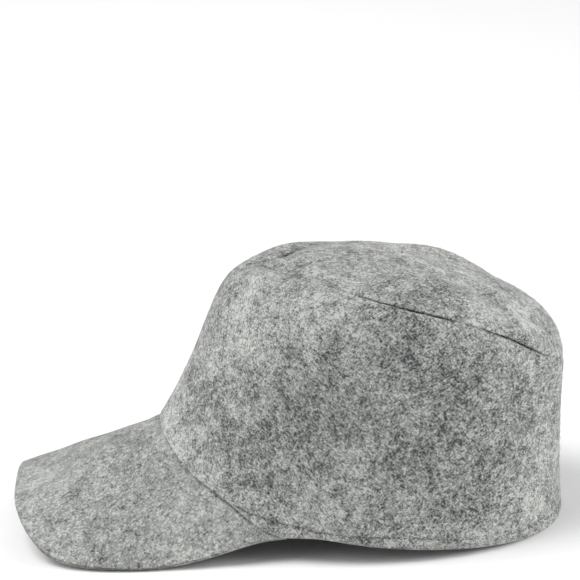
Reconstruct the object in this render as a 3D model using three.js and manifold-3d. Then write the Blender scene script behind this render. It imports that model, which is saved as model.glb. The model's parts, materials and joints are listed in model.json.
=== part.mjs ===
// A plain felt cap: a side wall round the head, an egg-shaped tip sewn on top, and an arched peak.
// Millimetres, +Z up. The peak points to -Y, the wearer's left is +X, and the cap stands on z = 0.
// The shapes come from upright sections that fan out from the middle of the head. Angles are in
// degrees: 0 looks forward over the peak, 90 to the wearer's left, and 180 back.
import * as THREE from "three";
import Module from "manifold-3d";

// Felt
const FELT = 2; // one layer
const HEM_THICKNESS = 3.8; // the rim, where the felt is turned inside
const HEM_HEIGHT = 12; // how far the turned felt reaches up the wall
const HEM_STEP = 1.5; // from doubled felt to a single layer
const PEAK_THICKNESS = 3;
const PEAK_END_THICKNESS = 1.2; // where the peak runs out under the rim
const SEWN_GAP = 0.34; // left between two pieces that are sewn together

// Head opening: an oval, a little wider and blunter at the back. A point of 1 is an ellipse's round
// end, more is sharper and less is blunter.
const HEAD = { halfLength: 100.2, halfWidth: 82.4, widerAtBack: 0.04, backPoint: 0.82 };

// Tip: an oval that is blunt at the back and comes to a soft point in front
const TIP = { halfLength: 74.1, halfWidth: 59.1, widerAtBack: 0.05, setBack: 27.8 };
const TIP_POINT = { front: 1.7, back: 0.74 };
const TIP_TOP = { setBack: -2.5, height: 130.6 }; // where the tip lies level

// Height of the rim's lower edge: raised over the peak, down on the surface at the back
const RIM = [
  { angle: 0, height: 50.5 },
  { angle: 15, height: 45.7 },
  { angle: 30, height: 36.0 },
  { angle: 45, height: 27.2 },
  { angle: 60, height: 13.6 },
  { angle: 75, height: 12.8 },
  { angle: 90, height: 8.8 },
  { angle: 120, height: 2.8 },
  { angle: 150, height: -0.3 },
  { angle: 180, height: 0.1 },
];

// Sections of the crown. The leans tell how far the wall leans inwards from upright, at its rim and
// at the tip seam. tipSlope is how steeply the tip climbs from that seam.
const CROWN = [
  { angle: 0, seamHeight: 128.1, rimLean: 32.7, seamLean: 89, tipSlope: 20.4 },
  { angle: 30, seamHeight: 127.5, rimLean: 27.3, seamLean: 116, tipSlope: 20 },
  { angle: 60, seamHeight: 125.7, rimLean: 16.9, seamLean: 84, tipSlope: 13 },
  { angle: 90, seamHeight: 117.3, rimLean: 10.1, seamLean: 21, tipSlope: 26 },
  { angle: 120, seamHeight: 102.5, rimLean: 6.1, seamLean: 8.9, tipSlope: 64 },
  { angle: 150, seamHeight: 84.8, rimLean: 4.1, seamLean: 3.9, tipSlope: 73 },
  { angle: 180, seamHeight: 78.2, rimLean: 4.6, seamLean: 0.4, tipSlope: 93 },
];

// How far a section's end slopes carry on, as a share of the section's length
const WALL_PULL = { rim: 0.44, seam: 0.27 };
const TIP_PULL = { front: 0.37, side: 0.31, back: 0.28, topFront: 0.29, topBack: 0.25 };

// Peak: its reach in front of the head's middle, and its edge as a squarish curve
const PEAK = { reach: 174.1, halfWidth: 85.8, squareness: 3.3, endAngle: 65, endWidth: 0.8 };

// Height of the peak's upper edge, along it from the front (0) to where it ends at the rim (90)
const PEAK_EDGE = [
  { angle: 0, height: 20.3 },
  { angle: 12, height: 19.0 },
  { angle: 24, height: 13.5 },
  { angle: 36, height: 6.8 },
  { angle: 48, height: 3.8 },
  { angle: 60, height: 2.5 },
  { angle: 75, height: 2.7 },
  { angle: 84, height: 7.1 },
];
const PEAK_TUCK = 3; // the sewn edge, under the rim
const PEAK_NARROWS = 2.2; // how late its sides turn in to the rim
const PEAK_THINS_FROM = 0.8; // the share of the way to its end from where it gets thinner

// How finely the surfaces are divided
const ROUND_STEPS = 72;
const SHOULDER_STEPS = 12;
const TIP_STEPS = 9;
const PEAK_STEPS_ALONG = 44;
const PEAK_STEPS_OUT = 6;

const UP = new THREE.Vector3(0, 0, 1);

const radians = THREE.MathUtils.degToRad;
const mix = THREE.MathUtils.lerp;

// A smooth curve through a column of a table, level at its ends. Each row's slope is that of the
// parabola through the row and its two neighbours.
function curveThrough(rows, column) {
  const slopes = rows.map((row, i) => {
    if (i === 0 || i === rows.length - 1) return 0;
    const before = row.angle - rows[i - 1].angle;
    const after = rows[i + 1].angle - row.angle;
    const rise = (row[column] - rows[i - 1][column]) / before;
    const nextRise = (rows[i + 1][column] - row[column]) / after;
    return (rise * after + nextRise * before) / (before + after);
  });
  return (angle) => {
    const turn = Math.abs(angle);
    let i = rows.length - 2;
    while (i > 0 && rows[i].angle > turn) i -= 1;
    const width = rows[i + 1].angle - rows[i].angle;
    const t = (turn - rows[i].angle) / width;
    const bend = t * t * (3 - 2 * t);
    const leaving = t * (1 - t) * (1 - t) * slopes[i];
    const arriving = t * t * (t - 1) * slopes[i + 1];
    return mix(rows[i][column], rows[i + 1][column], bend) + (leaving + arriving) * width;
  };
}

const rimHeight = curveThrough(RIM, "height");
const seamHeight = curveThrough(CROWN, "seamHeight");
const rimLean = curveThrough(CROWN, "rimLean");
const seamLean = curveThrough(CROWN, "seamLean");
const tipSlope = curveThrough(CROWN, "tipSlope");

// The outer lower edge of the wall
function rimPoint(angle) {
  const side = Math.sin(radians(angle));
  const ahead = Math.cos(radians(angle));
  const point = ahead > 0 ? 1 : HEAD.backPoint;
  const width = HEAD.halfWidth * (1 - HEAD.widerAtBack * ahead);
  const x = width * Math.sign(side) * Math.abs(side) ** point;
  return new THREE.Vector3(x, -HEAD.halfLength * ahead, rimHeight(angle));
}

// The level direction into the head, square to an ellipse through the rim's ends and sides
function rimInward(angle) {
  const side = Math.sin(radians(angle)) / HEAD.halfWidth;
  const ahead = Math.cos(radians(angle)) / HEAD.halfLength;
  return new THREE.Vector3(-side, ahead, 0).normalize();
}

// The seam between wall and tip
function seamPoint(angle) {
  const side = Math.sin(radians(angle));
  const ahead = Math.cos(radians(angle));
  const point = ahead > 0 ? TIP_POINT.front : TIP_POINT.back;
  const width = TIP.halfWidth * (1 - TIP.widerAtBack * ahead);
  const x = width * Math.sign(side) * Math.abs(side) ** point;
  return new THREE.Vector3(x, TIP.setBack - TIP.halfLength * ahead, seamHeight(angle));
}

// A unit vector between a level direction and straight up
function climbing(level, slope) {
  const tilt = radians(slope);
  return level.clone().multiplyScalar(Math.cos(tilt)).addScaledVector(UP, Math.sin(tilt));
}

function towardsTop(seam) {
  return new THREE.Vector3(-seam.x, TIP_TOP.setBack - seam.y, 0).normalize();
}

// One upright section of the wall, from the rim to the seam
function wallSection(angle) {
  const rim = rimPoint(angle);
  const seam = seamPoint(angle);
  const length = rim.distanceTo(seam);
  const leaving = climbing(rimInward(angle), 90 - rimLean(angle));
  const arriving = climbing(towardsTop(seam), 90 - seamLean(angle));
  seam.addScaledVector(arriving, -SEWN_GAP / 2);
  const low = rim.clone().addScaledVector(leaving, length * WALL_PULL.rim);
  const high = seam.clone().addScaledVector(arriving, -length * WALL_PULL.seam);
  return new THREE.CubicBezierCurve3(rim, low, high, seam);
}

// One upright section of the tip, from the seam to its level top
function tipSection(angle) {
  const seam = seamPoint(angle);
  const top = new THREE.Vector3(0, TIP_TOP.setBack, TIP_TOP.height);
  const length = seam.distanceTo(top);
  const inward = towardsTop(seam);
  const behind = (1 - Math.cos(radians(angle))) / 2; // 0 in front, 1 at the back
  const edgePull =
    TIP_PULL.front * (1 - behind) ** 2 +
    TIP_PULL.side * 2 * behind * (1 - behind) +
    TIP_PULL.back * behind ** 2;
  const topPull = mix(TIP_PULL.topFront, TIP_PULL.topBack, behind);
  const leaving = climbing(inward, tipSlope(angle));
  seam.addScaledVector(leaving, SEWN_GAP / 2);
  const low = seam.clone().addScaledVector(leaving, length * edgePull);
  const high = top.clone().addScaledVector(inward, -length * topPull);
  return new THREE.CubicBezierCurve3(seam, low, high, top);
}

// The outward unit normal of a surface made of such sections
function outward(section, angle, share) {
  const turn = 0.5;
  const step = 0.004;
  const from = Math.max(share - step, 0);
  const to = Math.min(share + step, 1);
  const round = section(angle + turn).getPoint(share).sub(section(angle - turn).getPoint(share));
  const along = section(angle).getPoint(to).sub(section(angle).getPoint(from));
  return round.cross(along).normalize();
}

// The edges of wall and tip share this direction, so that they face each other across the seam.
function seamNormal(angle) {
  return outward(wallSection, angle, 1).add(outward(tipSection, angle, 0)).normalize();
}

const anglesRound = Array.from({ length: ROUND_STEPS }, (_, i) => (i * 360) / ROUND_STEPS - 180);

function steps(count, from, to) {
  return Array.from({ length: count + 1 }, (_, i) => mix(from, to, i / count));
}

// Points on a surface, sunk below it by a thickness
function ring(section, share, sunk, normal = outward) {
  return anglesRound.map((angle) => {
    const at = typeof share === "function" ? share(angle) : share;
    return section(angle).getPoint(at).addScaledVector(normal(section, angle, at), -sunk);
  });
}

// Faces between rings of points that close round; ends closed on a point where one is given
function skin(rings, { firstPole, lastPole } = {}) {
  const points = rings.flat();
  const count = rings[0].length;
  const faces = [];
  const looped = !firstPole;
  for (let r = 0; r < rings.length - (looped ? 0 : 1); r += 1) {
    const low = r * count;
    const high = ((r + 1) % rings.length) * count;
    for (let i = 0; i < count; i += 1) {
      const next = (i + 1) % count;
      faces.push(low + i, low + next, high + i, low + next, high + next, high + i);
    }
  }
  if (firstPole) {
    const first = points.push(firstPole) - 1;
    const last = points.push(lastPole) - 1;
    const top = (rings.length - 1) * count;
    for (let i = 0; i < count; i += 1) {
      const next = (i + 1) % count;
      faces.push(first, next, i, top + i, top + next, last);
    }
  }
  return { points, faces };
}

// Faces of a bar whose cross-sections are loops, with both ends closed across
function bar(loops) {
  const points = loops.flat();
  const count = loops[0].length;
  const faces = [];
  for (let r = 0; r < loops.length - 1; r += 1) {
    const low = r * count;
    const high = low + count;
    for (let i = 0; i < count; i += 1) {
      const next = (i + 1) % count;
      faces.push(low + i, high + i, low + next, low + next, high + i, high + next);
    }
  }
  const last = (loops.length - 1) * count;
  for (let i = 0; i < count / 2 - 1; i += 1) {
    const across = count - 1 - i;
    faces.push(i, i + 1, across, i + 1, across - 1, across);
    faces.push(last + i, last + across, last + i + 1, last + i + 1, last + across, last + across - 1);
  }
  return { points, faces };
}

const wasm = await Module();
wasm.setup();

// A closed skin as a solid, with what would reach below the surface it rests on pressed flat
function restingGeometry({ points, faces }) {
  const solid = new wasm.Manifold(
    new wasm.Mesh({
      numProp: 3,
      vertProperties: new Float32Array(points.flatMap((p) => p.toArray())),
      triVerts: new Uint32Array(faces),
    }),
  ).trimByPlane([0, 0, 1], 0);
  const mesh = solid.getMesh();
  const geometry = new THREE.BufferGeometry();
  geometry.setAttribute("position", new THREE.BufferAttribute(mesh.vertProperties, 3));
  geometry.setIndex(new THREE.BufferAttribute(mesh.triVerts, 1));
  return geometry;
}

// The wall with its hem: up the outside, over the seam edge, and down the inside
function wallGeometry() {
  const upTo = (height) => (angle) => height / wallSection(angle).getLength();
  const hemTop = upTo(HEM_HEIGHT + HEM_STEP);
  const hemShares = [upTo(HEM_HEIGHT / 3), upTo(HEM_HEIGHT), hemTop];
  const restShares = steps(SHOULDER_STEPS, 0, 1)
    .slice(1, -1)
    .map((part) => (angle) => mix(hemTop(angle), 1, part));
  const shares = [...hemShares, ...restShares];
  const edge = (section, angle) => seamNormal(angle);
  const outer = [0, ...shares].map((share) => ring(wallSection, share, 0));
  const inner = shares.map((share, i) => ring(wallSection, share, i < 2 ? HEM_THICKNESS : FELT));
  const rimInside = anglesRound.map((angle) => {
    const depth = HEM_THICKNESS / Math.cos(radians(rimLean(angle)));
    return rimPoint(angle).addScaledVector(rimInward(angle), depth);
  });
  return restingGeometry(
    skin([
      ...outer,
      ring(wallSection, 1, 0, edge),
      ring(wallSection, 1, FELT, edge),
      ...inner.reverse(),
      rimInside,
    ]),
  );
}

// The tip: from its middle underneath, out to the seam edge, and back over the top
function tipGeometry() {
  const edge = (section, angle) => seamNormal(angle);
  const shares = steps(TIP_STEPS, 0, 1).slice(1, -1);
  const top = new THREE.Vector3(0, TIP_TOP.setBack, TIP_TOP.height);
  return restingGeometry(
    skin(
      [
        ...shares.map((share) => ring(tipSection, share, FELT)).reverse(),
        ring(tipSection, 0, FELT, edge),
        ring(tipSection, 0, 0, edge),
        ...shares.map((share) => ring(tipSection, share, 0)),
      ],
      { firstPole: top.clone().addScaledVector(UP, -FELT), lastPole: top },
    ),
  );
}

const edgeHeight = curveThrough(
  [...PEAK_EDGE, { angle: 90, height: rimHeight(PEAK.endAngle) - SEWN_GAP }],
  "height",
);

// Where the peak's upper face meets the wall, just under the rim
function peakRoot(angle) {
  return rimPoint(angle).addScaledVector(UP, -SEWN_GAP);
}

// The peak's upper outer edge
function peakEdge(angle) {
  const share = Math.abs(angle) / PEAK.endAngle;
  const round = radians(share * 90);
  const power = 2 / PEAK.squareness;
  const end = rimPoint(PEAK.endAngle).addScaledVector(rimInward(PEAK.endAngle), -PEAK.endWidth);
  const width = mix(PEAK.halfWidth, end.x, share ** PEAK_NARROWS);
  const x = width * Math.sin(round) ** power;
  const ahead = Math.max(Math.cos(round), 0) ** power;
  return new THREE.Vector3(x * Math.sign(angle), mix(end.y, -PEAK.reach, ahead), edgeHeight(share * 90));
}

function peakTop(angle, out) {
  return peakRoot(angle).lerp(peakEdge(angle), out);
}

// One cross-section of the peak: in over its upper face, and out again underneath
function peakLoop(angle) {
  const turn = 0.5;
  const share = Math.abs(angle) / PEAK.endAngle;
  const thinning = THREE.MathUtils.smoothstep(share, PEAK_THINS_FROM, 1);
  const thickness = mix(PEAK_THICKNESS, PEAK_END_THICKNESS, thinning);
  const before = Math.max(angle - turn, -PEAK.endAngle);
  const after = Math.min(angle + turn, PEAK.endAngle);
  const outs = steps(PEAK_STEPS_OUT, 1, 0);
  const upper = outs.map((out) => peakTop(angle, out));
  const inwards = upper.at(-1).clone().sub(upper[0]).normalize();
  const lower = outs.map((out, i) => {
    const along = peakTop(after, out).sub(peakTop(before, out));
    return upper[i].clone().addScaledVector(along.cross(inwards).normalize(), -thickness);
  });
  const tuck = rimInward(angle).multiplyScalar(PEAK_TUCK);
  upper.push(upper.at(-1).clone().add(tuck));
  lower.push(lower.at(-1).clone().add(tuck));
  return [...upper, ...lower.reverse()];
}

function peakGeometry() {
  const angles = steps(PEAK_STEPS_ALONG, -PEAK.endAngle, PEAK.endAngle);
  return restingGeometry(bar(angles.map(peakLoop)));
}

function piece(name, geometry, colour) {
  geometry.computeVertexNormals();
  const felt = new THREE.MeshStandardMaterial({ color: colour, roughness: 0.95, metalness: 0 });
  felt.name = "grey_wool_felt";
  const mesh = new THREE.Mesh(geometry, felt);
  mesh.name = name;
  return mesh;
}

const cap = new THREE.Group();
cap.add(
  piece("crown_wall", wallGeometry(), 0x989a98),
  piece("crown_tip", tipGeometry(), 0x9b9d9b),
  piece("peak", peakGeometry(), 0x9c9d9a),
);

// The origin lies under the middle of the cap's length.
const box = new THREE.Box3().setFromObject(cap);
cap.position.y = -(box.min.y + box.max.y) / 2;

export default cap;
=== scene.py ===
"""A plain grey felt cap with an arched peak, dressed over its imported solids.

The file is laid out as an add-on and is run as a script. Shapes are worked out in millimetres about the
middle of the head, from the same sizes as the solids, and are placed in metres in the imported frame.
Angles go round the head in degrees: 0 over the peak, 90 at the wearer's left, 180 at the back.
"""

import json
import math

import bpy
import numpy as np
from mathutils import Matrix, Vector

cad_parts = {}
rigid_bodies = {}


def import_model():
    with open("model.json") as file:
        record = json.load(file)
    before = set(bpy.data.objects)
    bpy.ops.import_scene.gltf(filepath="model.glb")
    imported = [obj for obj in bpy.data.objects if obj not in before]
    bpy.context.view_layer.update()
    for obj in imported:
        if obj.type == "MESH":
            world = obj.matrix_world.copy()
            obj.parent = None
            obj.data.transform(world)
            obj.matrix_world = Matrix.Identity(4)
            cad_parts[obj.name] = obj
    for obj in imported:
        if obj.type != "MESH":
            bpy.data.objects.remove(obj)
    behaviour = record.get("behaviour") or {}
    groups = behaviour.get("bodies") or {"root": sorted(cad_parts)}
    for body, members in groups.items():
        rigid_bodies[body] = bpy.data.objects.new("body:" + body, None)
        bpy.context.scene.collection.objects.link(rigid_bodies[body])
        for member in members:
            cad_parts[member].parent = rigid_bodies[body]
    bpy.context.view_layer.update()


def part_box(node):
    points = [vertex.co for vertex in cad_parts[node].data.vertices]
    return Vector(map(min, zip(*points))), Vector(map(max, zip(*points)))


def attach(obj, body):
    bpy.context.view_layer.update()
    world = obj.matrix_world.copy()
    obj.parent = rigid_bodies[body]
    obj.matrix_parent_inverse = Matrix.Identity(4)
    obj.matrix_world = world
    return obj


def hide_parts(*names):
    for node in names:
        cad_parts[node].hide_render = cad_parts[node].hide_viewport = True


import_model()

bl_info = {
    "name": "Felt Cap",
    "version": (1, 0, 0),
    "blender": (4, 5, 0),
    "location": "3D View > Sidebar > Felt Cap",
    "description": "Builds a grey felt cap with a sloping tip and an arched peak",
    "category": "Add Mesh",
}

MM = 0.001
UP = np.array([0.0, 0.0, 1.0])

# Sizes that the solids have too, in millimetres

HEAD = {"half_length": 100.2, "half_width": 82.4, "wider_at_back": 0.04, "back_point": 0.82}
HEAD_MIDDLE_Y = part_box("crown_wall")[1].y / MM - HEAD["half_length"]
HEAD_MIDDLE = np.array([0.0, HEAD_MIDDLE_Y, 0.0])
TIP = {"half_length": 74.1, "half_width": 59.1, "wider_at_back": 0.05, "set_back": 27.8}
TIP_POINT = {"front": 1.7, "back": 0.74}
TIP_TOP = np.array([0.0, -2.5, 130.6])
WALL_PULL = {"rim": 0.44, "seam": 0.27}
TIP_PULL = {"front": 0.37, "side": 0.31, "back": 0.28, "top_front": 0.29, "top_back": 0.25}
PEAK = {"reach": 174.1, "half_width": 85.8, "squareness": 3.3, "end_angle": 65.0, "end_width": 0.8}
PEAK_NARROWS = 2.2
PEAK_THINS_FROM = 0.8
PEAK_TUCK = 3.0
PEAK_SEWN_GAP = 0.05  # the solids keep a wider one
PEAK_END_PULL = {"from": 0.88, "most": 1.4}  # how far the peak's ends are drawn in under the rim
SEWN_GAP = 0.34


def table(columns, *rows):
    """Rows of a table as dictionaries, one value for each named column."""
    return [dict(zip(columns.split(), row)) for row in rows]


# Height of the rim's lower edge
RIM = table(
    "angle height",
    (0, 50.5), (15, 45.7), (30, 36.0), (45, 27.2), (60, 13.6),
    (75, 12.8), (90, 8.8), (120, 2.8), (150, -0.3), (180, 0.1),
)

# Sections of the crown: leans from upright at the rim and at the tip seam, and the tip's first slope
CROWN = table(
    "angle seam_height rim_lean seam_lean tip_slope",
    (0, 128.1, 32.7, 89, 20.4),
    (30, 127.5, 27.3, 116, 20),
    (60, 125.7, 16.9, 84, 13),
    (90, 117.3, 10.1, 21, 26),
    (120, 102.5, 6.1, 8.9, 64),
    (150, 84.8, 4.1, 3.9, 73),
    (180, 78.2, 4.6, 0.4, 93),
)

# Height of the peak's upper edge, from its front (0) to where it ends at the rim (90)
PEAK_EDGE = table(
    "angle height",
    (0, 20.3), (12, 19), (24, 13.5), (36, 6.8), (48, 3.8), (60, 2.5), (75, 2.7), (84, 7.1),
)

# What the photograph shows beyond the solids, in millimetres

# How deep the tip seam is drawn in, and how much shade is painted along it, on the wearer's left and
# on the right. A painted shade over 1 is black over a wider line.
SEAM_LEFT = table(
    "angle depth shade",
    (0, 0.5, 0.2), (6, 0.7, 0.5), (14, 0.6, 0.5), (22, 0.3, 0.1), (38, 0.2, 0.0), (54, 0.4, 0.0),
    (60, 0.6, 0.15), (65, 1.0, 0.5), (72, 1.4, 0.7), (82, 1.9, 1.0), (94, 1.8, 1.0), (101, 1.1, 0.6),
    (106, 0.7, 0.1), (111, 0.8, 0.3), (118, 1.2, 0.7), (127, 1.8, 1.0), (135, 1.7, 1.0),
    (142, 1.0, 0.5), (150, 0.6, 0.2), (180, 0.8, 0.3),
)
SEAM_RIGHT = table(
    "angle depth shade",
    (0, 0.5, 0.2), (12, 0.4, 0.1), (18, 0.6, 0.5), (22, 1.8, 2.2), (30, 1.9, 2.2), (37, 1.9, 2.2),
    (43, 0.9, 0.5), (54, 0.7, 0.3), (90, 1.2, 0.6), (140, 1.2, 0.6), (180, 0.8, 0.3),
)
SEAM_SLOPE = 1.4  # how far from the seam the felt starts to dip
SEAM_OPEN = {"from": 0.4, "share": 0.5}  # past this depth its edges stand apart by a share of the rest
SEAM_SHADE_WIDTH = 0.8  # how far from the seam shade is painted on the felt
SEAM_RIPPLE = {"share": 0.3, "waves": (31, 53, 97)}  # uneven pull, in waves round the head
SEAM_ASKEW = {"angle": -22, "width": 14, "share": 0.4}  # the tip is sewn on a little narrower here
SEAM_TUCK = {"deep": 3.0, "shallow": 0.4, "shade": 0.2}  # the sewn edges, turned inside, with shade painted on them

# Folds that the soft felt of the tip has taken: lines between two places, seen from above, with the shade
# painted along them. A shade below 0 is painted light, paler where the tip faces the light.
TIP_FOLDS = table(
    "x y to_x to_y rise width shade",
    (17.2, -35.4, 4.6, -13.3, -0.5, 1.3, 0.35),
    (20.0, 69.5, 45.0, 74.5, 1.6, 4.0, 0.0),
    (18.0, 58.0, 44.0, 64.0, -1.4, 5.0, 0.12),
    (24.0, 64.5, 44.0, 70.5, -0.4, 2.0, 0.35),
    (15.0, 80.0, 37.0, 77.0, 0.0, 8.0, -0.25),
    (35.0, -17.0, 36.0, -9.0, -0.3, 4.0, 0.15),
)

# Folds of the wall: places by angle and by height over the rim
WALL_FOLDS = table(
    "angle height to_angle to_height rise width",
    (36.0, 98.0, 44.0, 60.0, 0.7, 12.0),
    (-20.0, 84.0, -42.0, 102.0, 1.4, 16.0),
    (60.0, 66.0, 84.0, 50.0, -1.0, 20.0),
    (118.0, 72.0, 128.0, 40.0, 0.7, 12.0),
    (-52.0, 70.0, -80.0, 45.0, -0.9, 18.0),
    (-112.0, 60.0, -128.0, 40.0, 0.8, 13.0),
    (150.0, 60.0, 158.0, 25.0, -0.6, 12.0),
)

# Distances from the rim and from the tip seam at which the soft felt swells and folds freely
FREE_FROM = {"rim": 20.0, "seam": 12.0, "tip_folds": 3.0, "tip_swells": 15.0}

# Random seeds of the swells, and the waves that they are the sum of
SEEDS = {"wall": 3, "tip": 8, "peak": 21}
STRAY = {"waves": 14, "shortest": 0.6, "longest": 1.8}

HEM_EDGE_ROUND = 0.8
HEM_STEP = 2.0  # the height over which the turned felt ends, inside
HEM_SWELL = {"from": 3.0, "fade": 4.0}  # the height where the swell is full, and how softly it ends

# The hem's stitch line: its height over the rim and the shade painted in its dip. It leaves the peak's seam
# near 45.
HEM_STITCHING = table(
    "angle height shade",
    (0, 0, 0.0), (45, 0, 0.2), (52.5, 3.2, 0.65), (58, 6.2, 0.55), (63.5, 6.6, 0.45), (69, 5.4, 0.5),
    (73, 3.8, 0.5), (78, 3.3, 0.4), (83, 3.8, 0.35), (91, 5.1, 0.35), (100, 5.6, 0.3), (108, 5.4, 0.2),
    (120, 4.6, 0.05), (150, 5.4, 0.05), (180, 5.6, 0.05),
)
HEM_STITCH_START = 48.0
HEM_STITCH_DIP = {"depth": 0.3, "width": 0.7, "fade": 2.0}
HEM_LINE_POINTS = 4000
STITCH_POINTS = 7
STITCH_ENDS_THIN_TO = 0.55
STITCH_BOW = 1.4
THREAD_SIDES = 8

# The peak's seam: the shade painted along it, and how far the felt is pushed up on both sides of it. The
# peak's swell fades between two distances from the seam, "gone", and between two shares of the way to its
# ends.
JOIN_SHADES = table(
    "angle shade",
    (0, 0.0), (8, 0.0), (16, 0.1), (24, 0.2), (34, 0.35), (48, 0.75), (56, 0.4), (62, 0.2), (90, 0.0),
)
JOIN_SHADE_WIDTH = 0.45
JOIN_SWELL = {"wall": 0.3, "peak": 0.55, "reach": 1.6, "gone": (4.0, 9.0), "ends": (0.8, 0.95)}
JOIN_ROUNDS_LESS = 0.65  # the rim's edge is this much less round where the peak is sewn on
JOIN_FADES = (-2.0, 3.0)  # from before the peak's ends to past them, in degrees
# The back seam's dip, and the shade painted in it
BACK_SEAM = {"depth": 0.5, "width": 1.1, "shade": 0.35}
PEAK_WAVES = {"rise": 0.25, "size": 30.0, "held": 0.15}  # held flat at its root and edge

# The peak's rounded edge: how far it turns, how much it bulges, and the line of painted shade where its
# two layers meet, by height from -1 to 1
PEAK_RIM = {"turn": 75.0, "bulge": 0.9, "line_below": 0.25, "line_width": 0.22, "shade": 0.6}

# Loose fibres on each piece, and their sizes in metres
FUZZ = table(
    "piece slot count seed",
    ("felt_wall", "wall_felt", 7000, 5),
    ("felt_tip", "tip_felt", 2600, 6),
    ("felt_peak", "peak_felt", 2600, 7),
)
FUZZ_MIDDLE_Z = -0.06  # outer faces look away from this height at the head's middle
FUZZ_LENGTH = (0.0016, 0.0042)
FUZZ_LIFT = (0.05, 0.22)  # how high a fibre bows, as a share of its length
FUZZ_BEND = 1.6  # how far a fibre turns aside along its length, in radians
FUZZ_WIDTH = 0.00011
FUZZ_TIP_WIDTH = 0.3
FUZZ_STATIONS = 4
FUZZ_MOST_SHADE = 0.15  # none in seams, where shade is painted
FUZZ_ROOT = 0.3  # how deep a fibre starts, as a share of its length

# How finely the surfaces are divided
SECTION_STEPS = 160  # to measure lengths along a section
ROUND_COUNT = 480
ANGLES = np.linspace(-180, 180, ROUND_COUNT, endpoint=False)
HEM_ZONE = {"reach": 16.0, "rows": 34, "grading": 1.3}
WALL_SEAM_ZONE = {"reach": 14.0, "rows": 36, "grading": 0.6}
WALL_ROWS = 62
TIP_SEAM_ZONE = {"reach": 12.0, "rows": 30, "grading": 1.6}
TIP_ROWS = 59
TIP_LAST_SHARE = 0.985  # a point closes what is left
TUCK_ROWS = 4
WALL_INSIDE_SHARES = (0.985, 0.92, 0.8, 0.65, 0.5, 0.35, 0.25, 0.18, 0.15, 0.13, 0.1, 0.06, 0.03, 0.0)
TIP_INSIDE_SHARES = (0.985, 0.9, 0.75, 0.6, 0.45, 0.3, 0.18, 0.08, 0.03)
PEAK_COLUMNS = 361
PEAK_ROWS = {"rows": 60, "grading": 1.5}
PEAK_EDGE_ROWS = 11
PEAK_LAST_TURN = 83.0  # columns lie as on a quarter turn up to here
NORMAL_REACH = {"turn": 0.5, "share": 0.004, "peak_turn": 0.4}  # how far apart slopes are measured

# Fibres lie in these turns, and are this many times longer than wide
FIBRE_TURNS = ((0.3, 0.2, 0.5), (1.2, 0.9, 2.1), (2.1, -0.7, -0.9))
FIBRE_STRETCH = 3.5

# How much each size of mottling counts in the felt's tone, with sizes in metres
MOTTLING = {"fibres": 4.8, "specks": 0.95, "tufts": 0.8, "clumps": 0.75, "clouds": 0.6}
SPECK, TUFT, CLUMP, CLOUD = 0.0009, 0.0024, 0.0065, 0.022
PAINTED_SHADE_BREAKS = 4.0  # how strongly pale fibres break up the painted shade
PAINTED_SHADE_SPECKS = 0.3  # and how much the specks do
NOISE_MIDDLE = 0.5
NOISE_LUMP = 0.5  # how wide the lumps of a noise at a scale of 1 are, in metres
FIBRE_NOISE = {"detail": 2.0, "roughness": 0.6, "distortion": 0.6}
MIDDLE_TONE = 0.5  # the grey between the dark and the pale fibres
RELIEF = {"fibres": 1.5, "specks": 0.5, "strength": 0.8}
PALE_WOOL = (0.35, 0.55)  # from grey to pale loose fibres, by their noise
THREAD_TWIST = 0.0003
THREAD_PALER = 2.2  # the pale side of the twist, as a multiple of its dark side

# How the surfaces take light
FELT_SURFACE = {"Roughness": 0.95, "Sheen Weight": 0.2, "Sheen Roughness": 0.5, "Specular IOR Level": 0.1}
LOOSE_SURFACE = {"Roughness": 0.9, "Specular IOR Level": 0.1}
THREAD_SURFACE = {"Roughness": 0.7}
FLOOR_SURFACE = {"Roughness": 0.9}

# Lights: where they stand, what they are turned to and their sizes in metres, and their powers in watts
LIGHTS = table(
    "name x y z to_x to_z size power",
    ("front_low_light", 0.3, -1.5, 0.5, 0.0, 0.06, 0.9, 8.2),
    ("front_light", -0.5, -1.3, 0.9, 0.0, 0.06, 0.9, 3.0),
    ("back_light", 0.3, 1.5, 0.5, 0.0, 0.06, 0.9, 20.5),
    ("top_light", 0.1, -1.2, 2.2, 0.0, 0.06, 1.6, 45.0),
    ("floor_light", -1.8, 0.0, 1.6, -2.6, 0.0, 1.6, 13.0),
)
SKY_COLOUR = (1.0, 1.0, 1.0, 1.0)
FLOOR_HALF_WIDTH = 6.0
SENSOR_WIDTH = 36.0
VIEW_DEPTH = (0.05, 50.0)


def length(name, description, default):
    """A setting in metres."""
    return bpy.props.FloatProperty(name=name, description=description, default=default, unit="LENGTH")


def turn(name, description, degrees):
    """A setting for an angle."""
    return bpy.props.FloatProperty(
        name=name, description=description, default=math.radians(degrees), subtype="ANGLE"
    )


def contrast(name, description, default):
    """A setting for how strongly felt is mottled."""
    return bpy.props.FloatProperty(
        name=name, description=description, default=default, subtype="FACTOR", min=0.0, max=2.0
    )


def colour(name, description, default):
    """A setting for a colour."""
    return bpy.props.FloatVectorProperty(
        name=name, description=description, default=default, subtype="COLOR", min=0.0, max=1.0
    )


class CapSizes(bpy.types.PropertyGroup):
    """Sizes of the cap's felt and its sewing."""

    felt: length("Felt", "Thickness of one layer of felt", 0.002)
    peak_thickness: length("Peak", "Thickness of the peak with its core", 0.003)
    peak_end_thickness: length("Peak's ends", "Thickness where the peak runs out", 0.0008)
    hem_thickness: length("Hem", "Thickness of the rim, where the felt is turned in", 0.0038)
    hem_height: length("Hem height", "How far the turned felt reaches up the wall", 0.012)
    hem_swell: length("Hem swell", "How far the turned felt pushes the wall out", 0.0004)
    stitch_length: length("Stitch", "Length of thread that shows in one stitch", 0.0017)
    stitch_pitch: length("Stitch pitch", "From one stitch to the next", 0.0041)
    thread: length("Thread", "Thickness of the hem's thread", 0.0005)
    unevenness: length("Unevenness", "How far the soft felt strays from a smooth shape", 0.0004)
    uneven_length: length("Unevenness length", "How far apart its soft swells are", 0.045)


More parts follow.
